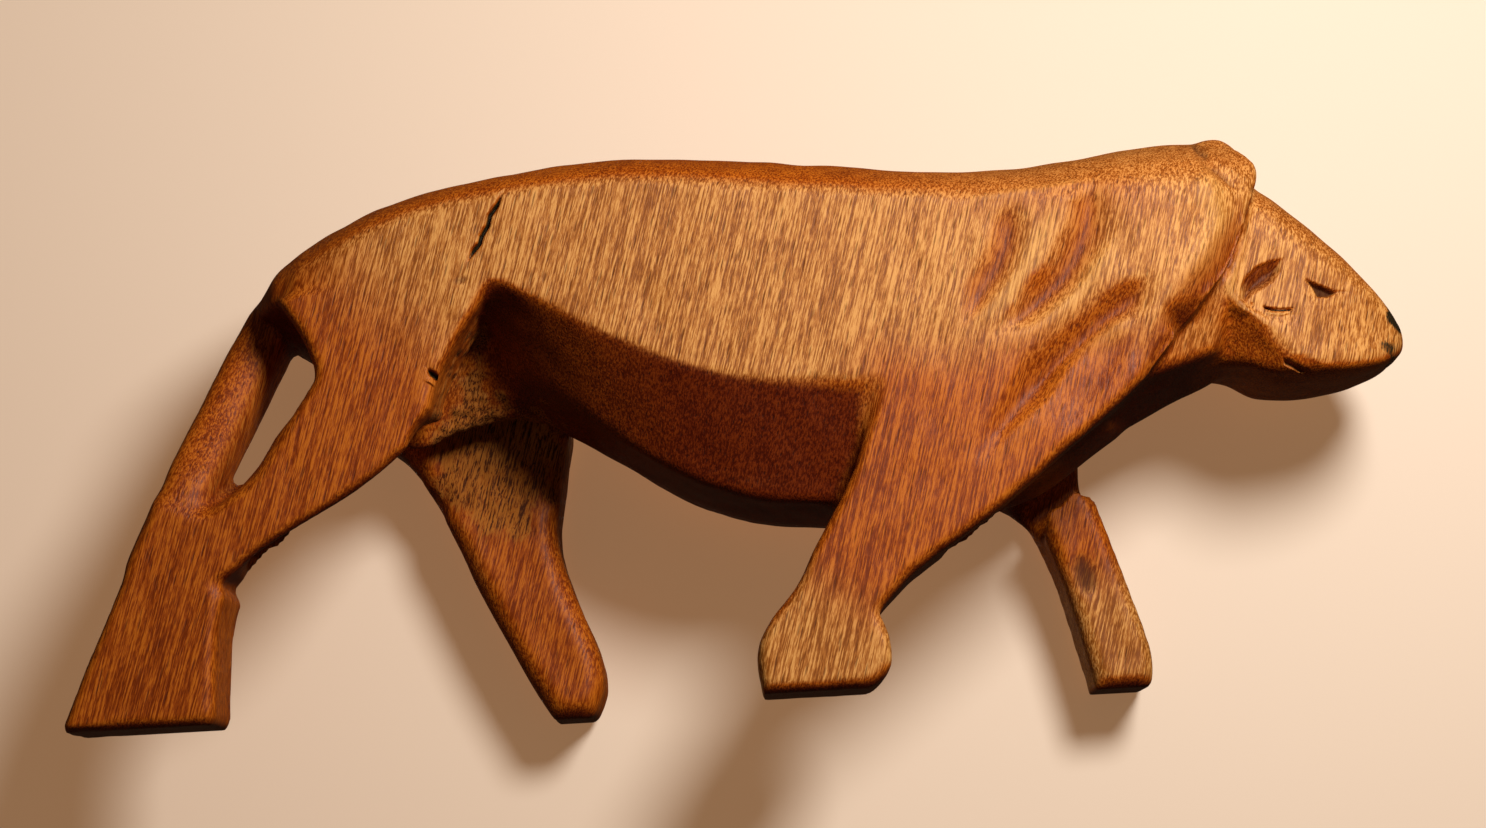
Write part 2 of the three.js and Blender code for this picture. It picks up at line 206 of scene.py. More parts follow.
def oiledWood():
    look = woodLook
    material, sheet = newMaterial("oiledWood")
    place = sheet.node("ShaderNodeTexCoord", output="Object")
    turn = {"Rotation": (0, -math.radians(look["grainLean"]), 0), "Scale": (1 / mm, 1 / mm, 1 / mm)}
    grain = sheet.node("ShaderNodeMapping", {"vector_type": "POINT"}, {"Vector": place, **turn})

    def painted(name):
        return sheet.node("ShaderNodeAttribute", {"attribute_name": name}, output="Fac")

    def figured(name):
        part = woodFigure[name]
        noise = grain.noise(part["sizes"], part["detail"], part["roughness"], part["distortion"])
        return noise.step(*part["step"])

    layers = {name: figured(name) for name in woodFigure}
    streaks, grit = layers["streaks"], layers["grit"]
    pores = 1 - grain.cells(openPores["sizes"]).step(*openPores["step"])

    weighted = [layers[name] * part["share"] for name, part in woodFigure.items()]
    tone = sum(weighted[1:], weighted[0])
    warm = sheet.node("ShaderNodeMix", {"data_type": "RGBA"}, {
        "Factor": tone.step(*look["deepToWarm"]), 6: (*look["deep"], 1), 7: (*look["warm"], 1)}, output=2)
    colour = warm.toward(look["pale"], tone.step(*look["warmToPale"]))
    leastWearAndHighlight, moreWearAndHighlight = look["wearAndHighlightShare"]
    # Pale where worn and where a highlight is painted.
    colour = colour.toward(look["wearAndHighlight"], painted("wearAndHighlight") * (streaks * moreWearAndHighlight + leastWearAndHighlight))
    colour = colour.toward(look["pore"], pores * look["poreShare"])
    # Red painted shade on the lower legs, chest, fold valleys and faces turned up or down.
    colour = colour.toward(look["redShade"], painted("redShade"), "MULTIPLY")
    # Darker painted shade in hollows, pits and valleys and on undersides, with the oil in the hollows.
    colour = colour.toward(look["shadeAndOil"], painted("shadeAndOil"), "MULTIPLY")
    fibres = (painted("rough") * (streaks * 0.6 + grit * 0.9)).step(0.25, 0.95)
    gaps = (painted("rough") * (2 - streaks - grit)).step(0.8, 1.7)
    colour = colour.toward(look["fibre"], fibres * look["fibreShare"])
    colour = colour.toward(look["fibreGap"], gaps * look["fibreGapShare"])
    # Near-black painted shade in the pits and notches, and the dark of the knot.
    colour = colour.toward(look["pitShadeAndKnot"], painted("pitShadeAndKnot"))
    black = (painted("black") + (grit - 0.5) * look["blackRagged"]).step(*look["blackEdge"])
    colour = colour.toward(look["black"], black)

    dull = painted("rough") * 0.3 + painted("pitShadeAndKnot") * 0.35
    roughness = look["roughness"] + streaks * 0.08 + pores * 0.12 + dull
    relief = streaks * 0.5 + grit * 0.35 - pores * 0.8
    bump = sheet.node("ShaderNodeBump", None, {
        "Strength": look["reliefStrength"], "Distance": look["reliefHeight"] * mm, "Height": relief})
    surface = sheet.node("ShaderNodeBsdfPrincipled", None, {
        "Base Color": colour, "Roughness": roughness, "Normal": bump, "Specular IOR Level": look["specular"]})
    sheet.node("ShaderNodeOutputMaterial", None, {"Surface": surface})
    return material


# The points of a mesh in millimetres, with what is needed to move them as a carver would.
class Carving:
    paints = ("wearAndHighlight", "redShade", "shadeAndOil", "rough", "pitShadeAndKnot", "black")
    pulls = (0.5, -0.53)  # one pass of rubbing goes in, and the next slightly further out

    def __init__(self, mesh):
        self.mesh = mesh
        count = len(mesh.vertices)
        flat = np.empty(count * 3)
        mesh.vertices.foreach_get("co", flat)
        self.points = flat.reshape(-1, 3) / mm
        pairs = np.empty(len(mesh.edges) * 2, dtype=np.int64)
        mesh.edges.foreach_get("vertices", pairs)
        pairs = pairs.reshape(-1, 2)
        self.starts = np.concatenate((pairs[:, 0], pairs[:, 1]))
        self.ends = np.concatenate((pairs[:, 1], pairs[:, 0]))
        self.degree = np.bincount(self.starts, minlength=count)
        self.paint = {name: np.zeros(count) for name in self.paints}

    def write(self):
        self.mesh.vertices.foreach_set("co", (self.points * mm).ravel())
        self.mesh.update()

    def normals(self):
        self.write()
        flat = np.empty(len(self.points) * 3)
        self.mesh.vertex_normals.foreach_get("vector", flat)
        return flat.reshape(-1, 3)

    def neighbourMean(self, values):
        columns = [
            np.bincount(self.starts, weights=column[self.ends], minlength=len(column)) / self.degree
            for column in values.reshape(len(values), -1).T
        ]
        return np.stack(columns, axis=1).reshape(values.shape)

    # Takes out the small steps and keeps the bulk.
    def rub(self, passes, share=1.0):
        weight = np.broadcast_to(np.asarray(share, dtype=float), (len(self.points),))[:, None]
        for _ in range(passes):
            for pull in self.pulls:
                self.points += (self.neighbourMean(self.points) - self.points) * pull * weight

    # Lets the form go slack where share is 1, in depth alone or along all axes.
    def slacken(self, share, passes, axes):
        for _ in range(passes):
            part = self.points[:, axes]
            self.points[:, axes] = part + (self.neighbourMean(part) - part) * share[:, None]

    def mark(self, name, amount):
        self.paint[name] = np.maximum(self.paint[name], amount)

    def storePaint(self):
        for name, values in self.paint.items():
            attribute = self.mesh.attributes.new(name, "FLOAT", "POINT")
            attribute.data.foreach_set("value", np.clip(values, 0, 1).astype(np.float32))


farAway = 1e9
nearlyZero = 1e-9


def smoothStep(values, low, high):
    share = np.clip((values - low) / (high - low), 0, 1)
    return share * share * (3 - 2 * share)


# Distance in the side view to a path, positive on its left as one goes along, and the share of the way gone.
def alongPath(points, path):
    spots = points[:, (0, 2)]
    corners = np.array(path, dtype=float)
    lengths = np.linalg.norm(np.diff(corners, axis=0), axis=1)
    reached = np.concatenate(((0,), np.cumsum(lengths)))
    best = np.full(len(spots), farAway)
    share = np.zeros(len(spots))
    for start, end, length, before in zip(corners, corners[1:], lengths, reached):
        step = (end - start) / length
        offset = spots - start
        travel = np.clip(offset @ step, 0, length)
        gap = np.linalg.norm(offset - travel[:, None] * step, axis=1)
        nearer = gap < np.abs(best)
        side = np.where(step[0] * offset[:, 1] - step[1] * offset[:, 0] < 0, -1, 1)
        best = np.where(nearer, gap * side, best)
        share = np.where(nearer, (before + travel) / reached[-1], share)
    return best, share


# How far each point lies inside an outline of the side view, negative outside.
def insideBy(points, outline):
    spots = points[:, (0, 2)]
    corners = np.array(list(outline) + [outline[0]], dtype=float)
    best = np.full(len(spots), farAway)
    within = np.zeros(len(spots), dtype=bool)
    for start, end in zip(corners, corners[1:]):
        step = end - start
        offset = spots - start
        travel = np.clip(offset @ step / (step @ step), 0, 1)
        best = np.minimum(best, np.linalg.norm(offset - travel[:, None] * step, axis=1))
        crossing = (start[1] > spots[:, 1]) != (end[1] > spots[:, 1])
        reach = start[0] + offset[:, 1] * step[0] / (step[1] or nearlyZero)
        within ^= crossing & (spots[:, 0] < reach)
    return np.where(within, best, -best)


rippleWaves = {"count": 18, "spread": (0.6, 1.6), "calm": 3}


# A seeded unevenness of about the given wave lengths.
def ripple(points, sizes, seed):
    draw = np.random.default_rng(seed)
    total = np.zeros(len(points))
    for _ in range(rippleWaves["count"]):
        way = draw.normal(size=3)
        way *= draw.uniform(*rippleWaves["spread"]) / np.linalg.norm(way) / np.array(sizes)
        total += np.sin(points @ way * 2 * np.pi + draw.uniform(0, 2 * np.pi))
    return total / rippleWaves["calm"]


def alongGrain(points):
    lean = math.radians(woodLook["grainLean"])
    x, y, z = points.T
    across = x * math.cos(lean) - z * math.sin(lean)
    along = x * math.sin(lean) + z * math.cos(lean)
    return np.stack((across, y, along), axis=1)


bodyMesh = {
    "weld": 1e-6,  # metres
    "voxel": 0.50,
    "arris": (0.012, 0.05),  # how much the normals of neighbours differ at the edges that stay crisp
    "between": (11.0, 2.5),  # nearer the middle than this, with a soft edge, the edges are rubbed round
    "head": (42, 4),  # but not past this along the lion, with a soft edge
    "betweenShare": 0.8,
    "heavyPasses": 40,
    "lightPasses": 7,
    "fineRub": 5,
}

# Areas where the rough form is first levelled, in depth on the near side, or on all axes down to a depth.
levelled = [
    {"outline": [(17.5, 21), (15.5, 30), (19.5, 42.5), (32, 45.5), (41.5, 46.8), (42.9, 43), (43, 40),
                 (42.2, 37.8), (39, 34.5), (36, 30.5), (33, 26.5), (28, 20.5), (22, 16.5)],
     "soft": 1.5, "passes": 3},
    {"outline": [(50.8, 36.2), (52.5, 36), (55.6, 35), (55.6, 33), (53, 31.8), (51, 33)],
     "soft": 0.8, "passes": 60},
    {"outline": [(46.2, 37.3), (48, 38.4), (50.8, 37.8), (51.4, 32.2), (49, 31.4), (47.5, 32),
                 (46, 33.2)],
     "soft": 0.8, "passes": 60},
    {"outline": [(48.6, 28.5), (51, 28), (53, 26.6), (50.5, 26.2)],
     "soft": 0.6, "passes": 40},
    {"outline": [(-31, 20), (-29.5, 25.5), (-26, 28.5), (-17, 28), (-15, 22), (-22, 17)],
     "soft": 1.5, "passes": 40, "depth": 8, "axes": [0, 1, 2]},
]

# Places that need a finer grid. Each reaches from the near side to the given depth.
fineAreas = [
    {"outline": [(43.6, 24), (43.6, 50), (50, 50), (62, 35), (62, 25), (50, 23)],
     "depth": -3, "rounds": 1},
    {"outline": [(45, 38), (50.5, 38.2), (56.2, 35.3), (56.2, 33.2), (53.4, 31.6), (53, 25), (48.8, 26.6),
                 (45, 31.5)],
     "depth": -4.5, "rounds": 1},
    {"outline": [(-19.2, 46.9), (-21, 46.9), (-25, 39.2), (-23.5, 38.8), (-20.6, 43)],
     "depth": -11, "rounds": 2},
    {"outline": [(-28.8, 31), (-25.6, 30.2), (-25.6, 27.8), (-28.8, 28.4)],
     "depth": -9, "rounds": 2},
    {"outline": [(-30.5, 22.5), (-30, 27), (-25, 36), (-22.5, 36), (-22.7, 30.5), (-16.3, 28),
                 (-16.3, 24), (-22, 22)],
     "depth": 3, "rounds": 1},
]

# Strokes on the near side. Widths are below and above the line for a stroke that runs down to the left.
# Their valleys are painted redder and darker as shade.
maneFolds = [
    {"path": [(25.3, 43), (25, 41.8), (24.4, 38.8), (23.6, 37), (22.3, 35.3), (21.2, 33.2), (19.5, 30.5)],
     "widths": (1.6, 2.2), "depth": 0.35, "fades": (0.2, 0.35), "redShade": 0.9, "shadeAndOil": 0.0},
    {"path": [(31.6, 44), (32.1, 42.6), (31.9, 39.9), (30.7, 37.6), (29.3, 35.4), (27.4, 33.8),
              (25.2, 32), (22.5, 30.6)],
     "widths": (1.8, 2.8), "depth": 0.4, "fades": (0.12, 0.35), "redShade": 0.9, "shadeAndOil": 0.1},
    {"path": [(37.2, 34.6), (35.5, 33.5), (34.7, 32.9), (32.9, 31.6), (31.2, 30.2), (29.8, 28.9),
              (28.4, 28), (26.4, 26), (25, 24.6), (23.2, 22.8), (20.6, 19.6)],
     "widths": (1.6, 3.0), "depth": 0.45, "fades": (0.15, 0.4), "redShade": 1.0, "shadeAndOil": 0.25},
    {"path": [(37, 31), (35.5, 30), (33.6, 28.2), (31.2, 25.6), (29.2, 23), (26.5, 20)],
     "widths": (3.2, 2.4), "depth": 0.35, "fades": (0.3, 0.4), "redShade": 1.0, "shadeAndOil": 0.2},
    {"path": [(46.0, 42.3), (45.7, 40.4), (45.3, 38), (44.1, 36), (41.6, 33.6), (40.1, 31.4), (38.7, 30),
              (36.8, 27.6), (35, 25)],
     "widths": (1.0, 2.8), "depth": 0.5, "fades": (0.25, 0.15), "redShade": 1.0, "shadeAndOil": 0.4},
]

maneRidges = [
    {"path": [(29.8, 43), (29.3, 42.1), (27.3, 39), (26.1, 36.4), (23.8, 33.8), (21, 32.1), (19.1, 29.5)],
     "widths": (1.6, 1.6), "depth": -0.25, "fades": (0.2, 0.3)},
    {"path": [(35, 41), (34.5, 39.1), (32.9, 36.7), (31, 34.7), (29.1, 33), (26.7, 31.2), (24.4, 30.2),
              (21, 28.8)],
     "widths": (1.6, 1.8), "depth": -0.3, "fades": (0.3, 0.3)},
    {"path": [(35.6, 32), (34.9, 31.6), (33, 30.5), (30.7, 29), (28.7, 26.8), (27.2, 24.6), (25.3, 22.8),
              (23.3, 20.6), (20, 17)],
     "widths": (1.8, 1.4), "depth": -0.35, "fades": (0.12, 0.3)},
    {"path": [(43.2, 46.6), (43.3, 43.1), (43.8, 40.8), (43.2, 38.5), (42, 36.4), (40.2, 34.5),
              (38.4, 32.7)],
     "widths": (1.8, 2.4), "depth": -0.35, "fades": (0.2, 0.3)},
    {"path": [(33.5, 44.6), (31.9, 44.4), (28.6, 43.9), (25, 43.5), (21.5, 43.1), (19, 42.6)],
     "widths": (0.7, 0.5), "depth": -0.18, "fades": (0.2, 0.3)},
]

# Cuts of the face, and the flaws of the wood. Some are painted dark inside as shade, and the pale lips below
# the cracks are painted highlight.
knifeMarks = [
    {"path": [(50.1, 37.2), (49.3, 36.85), (48.5, 36.6), (47.3, 36.2), (46.3, 35.3), (45.6, 34.3),
              (45.4, 33.5)],
     "widths": (1.5, 0.4), "depth": 0.3, "fades": (0.3, 0.3), "shadeAndOil": 0.8},
    {"path": [(47.3, 32.85), (47.7, 32.6), (48.3, 32.42), (49, 32.34), (50.3, 32.35)],
     "widths": (0.17, 0.2), "depth": 0.6, "fades": (0.2, 0.15), "black": 0.9},
    {"path": [(47.3, 32.2), (48.2, 31.98), (49, 31.92), (50, 32)],
     "widths": (0.3, 0.2), "depth": -0.12, "fades": (0.3, 0.3), "wearAndHighlight": 0.9},
    {"path": [(53.6, 33.75), (54.6, 33.85), (56.2, 33.8)],
     "widths": (0.3, 0.15), "depth": 0.12, "fades": (0.1, 0.5), "shadeAndOil": 0.5},
    {"path": [(48.9, 28), (49.3, 27.6), (50.3, 27.02), (51.2, 26.5), (52.4, 25.8)],
     "widths": (0.45, 0.35), "depth": 0.7, "fades": (0.15, 0.05), "pitShadeAndKnot": 0.9, "black": 0.35},
    {"path": [(46.6, 39.9), (45.8, 38), (45, 36.2), (44.6, 35), (44.6, 34), (45, 33), (45.7, 32.4),
              (46.6, 32)],
     "widths": (1.0, 0.8), "depth": -0.25, "fades": (0.3, 0.12), "wearAndHighlight": 0.5},
    {"path": [(42.4, 49.2), (42.7, 48.4), (43, 47.2), (43.5, 45.9)],
     "widths": (0.9, 0.6), "depth": 0.6, "fades": (0.05, 0.35), "pitShadeAndKnot": 0.7},
    {"path": [(43.3, 45.7), (43.7, 45.2), (44.5, 44.3), (45.6, 43)],
     "widths": (0.4, 0.4), "depth": 0.28, "fades": (0.25, 0.25), "pitShadeAndKnot": 0.45},
    {"path": [(-20, 46.7), (-20.6, 45.9), (-21, 44.9), (-21.7, 44), (-21.9, 43.1), (-22.5, 42.2),
              (-22.7, 41.5), (-23.3, 40.8), (-24, 39.6)],
     "widths": (0.34, 0.34), "depth": 0.9, "fades": (0.3, 0.2), "black": 1.3},
    {"path": [(-25.5, 37.7), (-24.5, 38.35), (-23.8, 38.2)],
     "widths": (0.25, 0.25), "depth": 0.2, "fades": (0.3, 0.3), "pitShadeAndKnot": 0.7},
    {"path": [(-28, 30.5), (-27.5, 30), (-26.9, 29.5), (-26.2, 28.9)],
     "widths": (0.55, 0.4), "depth": 0.8, "fades": (0.35, 0.05), "black": 1.1},
    {"path": [(-28.3, 29.5), (-27.6, 29.2), (-26.9, 28.7), (-26.4, 28.2)],
     "widths": (0.35, 0.25), "depth": -0.2, "fades": (0.3, 0.2), "wearAndHighlight": 0.7},
]

# The eye and the ear, sunk inside their outlines and painted dark inside as shade.
facePits = [
    {"outline": [(51.45, 35.15), (52.15, 34.15), (52.45, 33.35), (53.5, 33.3), (54.55, 33.8),
                 (53.05, 34.45)],
     "depth": 0.7, "wall": 0.3, "pitShadeAndKnot": 0.9, "shadeAndOil": 0.3},
    {"outline": [(49.6, 36.95), (48.5, 36.7), (47.3, 36.3), (46.3, 35.4), (45.6, 34.4), (45.3, 33.4),
                 (45.9, 33), (46.6, 33.7), (47.5, 34.2), (48.6, 34.8), (49.4, 35.8)],
     "depth": 0.65, "wall": 0.9, "pitShadeAndKnot": 0.3, "shadeAndOil": 0.9},
]

cutStyle = {
    "facing": (0.15, 0.5),  # how squarely a surface must face the near side to be cut
    "depth": -5.0,
    "thinEnd": 0.3,  # width of a stroke where it runs out
    "crestWearAndHighlight": 0.5,
    "pitLip": -0.05,
    "handWave": (5, 5, 7),
    "handHeight": 0.03,
    "handSeed": 11,
}


def strokeShape(points, stroke):
    gap, share = alongPath(points, stroke["path"])
    fadeIn, fadeOut = stroke["fades"]
    taper = smoothStep(share, 0, fadeIn) * smoothStep(1 - share, 0, fadeOut)
    below, above = stroke["widths"]
    thin = cutStyle["thinEnd"]
    width = np.where(gap > 0, below, above) * (thin + (1 - thin) * taper)
    near = np.clip(1 - np.abs(gap) / width, 0, 1)
    return np.where(gap > 0, near * near, near * near * (3 - 2 * near)) * taper


def nearSide(carving, normals):
    facing = smoothStep(-normals[:, 1], *cutStyle["facing"])
    return facing * smoothStep(cutStyle["depth"] - carving.points[:, 1], 0, 1)


def refine(mesh, area):
    carving = Carving(mesh)
    wanted = (insideBy(carving.points, area["outline"]) > 0) & (carving.points[:, 1] < area["depth"])
    form = bmesh.new()
    form.from_mesh(mesh)
    form.verts.ensure_lookup_table()
    edges = [edge for edge in form.edges if wanted[edge.verts[0].index] and wanted[edge.verts[1].index]]
    bmesh.ops.subdivide_edges(form, edges=edges, cuts=1, use_grid_fill=True)
    form.to_mesh(mesh)
    form.free()


def lionBody():
    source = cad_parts["lion"]
    form = bmesh.new()
    form.from_mesh(source.data)
    bmesh.ops.remove_doubles(form, verts=form.verts, dist=bodyMesh["weld"])
    bmesh.ops.recalc_face_normals(form, faces=form.faces)
    mesh = bpy.data.meshes.new("whittledLion")
    form.to_mesh(mesh)
    form.free()
    body = bpy.data.objects.new("whittledLion", mesh)
    bpy.context.scene.collection.objects.link(body)
    remesh = body.modifiers.new("evenGrid", "REMESH")
    remesh.mode = "VOXEL"
    remesh.voxel_size = bodyMesh["voxel"] * mm
    remesh.use_smooth_shade = True
    evaluated = body.evaluated_get(bpy.context.evaluated_depsgraph_get())
    body.data = bpy.data.meshes.new_from_object(evaluated)
    body.data.name = "whittledLion"
    body.modifiers.clear()
    print("even grid:", len(body.data.vertices), "points")
    return body


# Rubs the gentle surfaces smooth, keeps the knife's edges, and levels the places that are cut again later.
def levelForm(mesh):
    carving = Carving(mesh)
    normals = carving.normals()
    bend = 1 - np.linalg.norm(carving.neighbourMean(normals), axis=1)
    gentle = 1 - smoothStep(carving.neighbourMean(bend), *bodyMesh["arris"])
    along, across = carving.points[:, 0], np.abs(carving.points[:, 1])
    reach, softReach = bodyMesh["between"]
    headStart, headSoft = bodyMesh["head"]
    between = smoothStep(reach - across, 0, softReach) * smoothStep(headStart - along, 0, headSoft)
    gentle = np.maximum(gentle, between * bodyMesh["betweenShare"])
    carving.rub(bodyMesh["heavyPasses"], gentle)
    carving.rub(bodyMesh["lightPasses"])
    for area in levelled:
        share = smoothStep(insideBy(carving.points, area["outline"]), 0, area["soft"])
        share *= smoothStep(area.get("depth", -4) - carving.points[:, 1], 0, 1)
        carving.slacken(share, area["passes"], area.get("axes", [1]))
    carving.write()


def carveSurface(carving):
    carving.rub(bodyMesh["fineRub"])
    normals = carving.normals()
    side = nearSide(carving, normals)
    points = carving.points.copy()
    depth = np.zeros(len(points))
    for fold in maneFolds:
        shape = strokeShape(points, fold) * side
        depth += shape * fold["depth"]
        # Fold valleys painted redder and darker as shade.
        carving.mark("redShade", np.sqrt(shape) * fold["redShade"])
        carving.mark("shadeAndOil", shape * fold["shadeAndOil"])
    for ridge in maneRidges:
        shape = strokeShape(points, ridge) * side
        depth += shape * ridge["depth"]
        # Crests painted pale, as wear and painted highlight.
        carving.mark("wearAndHighlight", shape * cutStyle["crestWearAndHighlight"])
    for stroke in knifeMarks:
        shape = strokeShape(points, stroke) * side
        depth += shape * stroke["depth"]
        # Strokes paint as listed: shade in some cuts, highlight lips, and the black of cracks.
        for name in carving.paint:
            carving.mark(name, shape * stroke.get(name, 0))
    for pit in facePits:
        shape = smoothStep(insideBy(points, pit["outline"]), cutStyle["pitLip"], pit["wall"]) * side
        depth += shape * pit["depth"]
        # Pits painted dark as shade.
        carving.mark("pitShadeAndKnot", shape * pit["pitShadeAndKnot"])
        carving.mark("shadeAndOil", shape * pit["shadeAndOil"])
    carving.points[:, 1] += depth
    hand = ripple(points, cutStyle["handWave"], cutStyle["handSeed"]) * cutStyle["handHeight"]
    carving.points += normals * hand[:, None]


nosePaint = {
    "patches": [
        {"outline": [(58.5, 33.6), (58.85, 32.6), (59.25, 31.4), (59.65, 30.1), (62, 30.2), (61.5, 34)],
         "amount": 0.6},
        {"outline": [(58.7, 29.8), (58.3, 28.9), (58.6, 28.2), (59.3, 27.4), (60.2, 27.8), (59.6, 28.4),
                     (59.3, 29.3)], "amount": 0.5},
    ],
    "edge": (-0.4, 0.6),
    "ragged": 0.22,
    "raggedWave": (2.2, 2.2, 1.6),
    "seed": 5,
    "middle": -1,  # where across the nose the paint is darkest
    "reach": 7.5,
    "soft": 5,
    "middleMore": 0.3,
}


def paintNose(carving):
    points = carving.points
    ragged = ripple(points, nosePaint["raggedWave"], nosePaint["seed"]) * nosePaint["ragged"]
    inward = nosePaint["reach"] - np.abs(points[:, 1] - nosePaint["middle"])
    middle = smoothStep(inward, 0, nosePaint["soft"]) * nosePaint["middleMore"]
    for patch in nosePaint["patches"]:
        shape = smoothStep(insideBy(points, patch["outline"]) + ragged, *nosePaint["edge"])
        carving.mark("black", shape * (patch["amount"] + middle))


tornGrain = {
    "outline": [(-24, 35.6), (-22.9, 35.4), (-23.3, 31), (-22.5, 29.5), (-17, 27.5), (-16.4, 24),
                (-18.5, 20.5), (-21.5, 16.5), (-25.5, 17.5), (-30.5, 23), (-29, 27), (-27, 29.5),
                (-25.6, 32.5)],
    "edge": (-0.9, 1.4),
    "ragged": 0.5,
    "raggedWave": (2, 2, 3),
    "through": (-11, 6.5),  # from where to where it reaches through the plank
    "fibreWave": (0.9, 0.9, 3.2),
    "crossWave": (1.6, 1.6, 1.2),
    "crossShare": 0.5,
    "height": 0.06,
    "seeds": (3, 8, 9),
}
tailStrip = {
    "outline": [(-43.3, 35.5), (-41.5, 33.5), (-42.5, 28), (-46.5, 20), (-48.8, 19.4), (-46.5, 27)],
    "edge": (-0.4, 0.8),
    "facing": (-0.4, 0.3),
    "amount": 0.55,
}


def tearCrotch(carving):
    normals = carving.normals()
    points = carving.points.copy()
    edgeSeed, fibreSeed, crossSeed = tornGrain["seeds"]
    ragged = ripple(points, tornGrain["raggedWave"], edgeSeed) * tornGrain["ragged"]
    patch = smoothStep(insideBy(points, tornGrain["outline"]) + ragged, *tornGrain["edge"])
    front, back = tornGrain["through"]
    patch *= smoothStep(back - points[:, 1], 0, 1) * smoothStep(points[:, 1] - front, 0, 2)
    splinters = ripple(alongGrain(points), tornGrain["fibreWave"], fibreSeed)
    splinters += ripple(points, tornGrain["crossWave"], crossSeed) * tornGrain["crossShare"]
    carving.points += normals * (patch * splinters * tornGrain["height"])[:, None]
    carving.mark("rough", patch)
    strip = smoothStep(insideBy(points, tailStrip["outline"]), *tailStrip["edge"])
    strip *= smoothStep(-normals[:, 1], *tailStrip["facing"])
    carving.mark("rough", strip * tailStrip["amount"])


legKnot = {
    "centre": (31.0, 10.7),
    "sizes": (1.0, 1.9),
    "lean": 12.0,
    "edge": (-1.3, -0.5),
    "uneven": 0.06,
    "wave": (1, 1, 1.4),
    "seed": 21,
    "through": (1, 6),
    "dark": 0.75,
    "sunk": 0.25,
}


def paintKnot(carving):
    points = carving.points
    lean = math.radians(legKnot["lean"])
    across = points[:, 0] - legKnot["centre"][0]
    up = points[:, 2] - legKnot["centre"][1]
    wide, tall = legKnot["sizes"]
    reach = np.hypot((across * math.cos(lean) + up * math.sin(lean)) / wide,
                     (up * math.cos(lean) - across * math.sin(lean)) / tall)
    uneven = ripple(points, legKnot["wave"], legKnot["seed"]) * legKnot["uneven"]
    spot = smoothStep(-reach - uneven, *legKnot["edge"])
    front, back = legKnot["through"]
    spot *= smoothStep(points[:, 1], front, front + 1) * smoothStep(back - points[:, 1], 0, 1)
    carving.mark("pitShadeAndKnot", spot * legKnot["dark"])
    carving.points[:, 1] += spot * legKnot["sunk"]


# Areas of the side view painted darker and redder as shade, with the width of the soft edge.
redShadeAreas = [
    {"outline": [(-70, -5), (-70, 55), (-42, 50), (-34, 39), (-24, 31), (-20, 22), (-26, -5)],
     "soft": 12, "amount": 1.0},
    {"outline": [(12, 30), (20, 29), (27, 31), (33, 30), (45, 29), (44, 12), (10, 6), (2, 12)],
     "soft": 7, "amount": 1.0},
    {"outline": [(20, 47.5), (20, 43), (30, 41), (38, 41), (36, 50)],
     "soft": 6, "amount": 0.5},
    {"outline": [(-26, 25), (-14, 25), (-6, 0), (-10, -5), (-26, -5)],
     "soft": 3, "amount": 1.0},
]
# The belly facet that faces down, which is painted dark as shade.
bellyFacet = {
    "outline": [(-21.5, 38.4), (-15.8, 35), (-8.8, 31.4), (-3.6, 29.3), (1.6, 27.8), (10.6, 26.5), (10.3, 21),
                (6, 12), (-4, 12), (-24, 22), (-23.4, 32)],
    "edge": (-0.4, 0.6),
    "facing": (0.12, 0.3),
    "side": (-2, 2),
    "corner": (-22, -4),  # the painted shade is lighter at the rear corner and fuller past these
    "amount": 0.45,
}
wearAndShade = {
    "slackPasses": 8,
    "slackPull": 0.6,
    "hollows": (0.04, 0.22),
    "hollowShadeAndOil": 0.6,
    "crests": (0.06, 0.25),
    "crestWearAndHighlight": 0.25,
    "upward": (0.2, 0.6),
    "back": (6, 34),  # the red painted shade on the upper faces of the back fades forward between these
    "backFade": 0.6,
    "downward": (0.1, 0.4),
    "underside": (0.35, 0.75),
    "undersideShade": 0.9,
    "throat": (40, 45),
    "throatFade": 0.65,
}


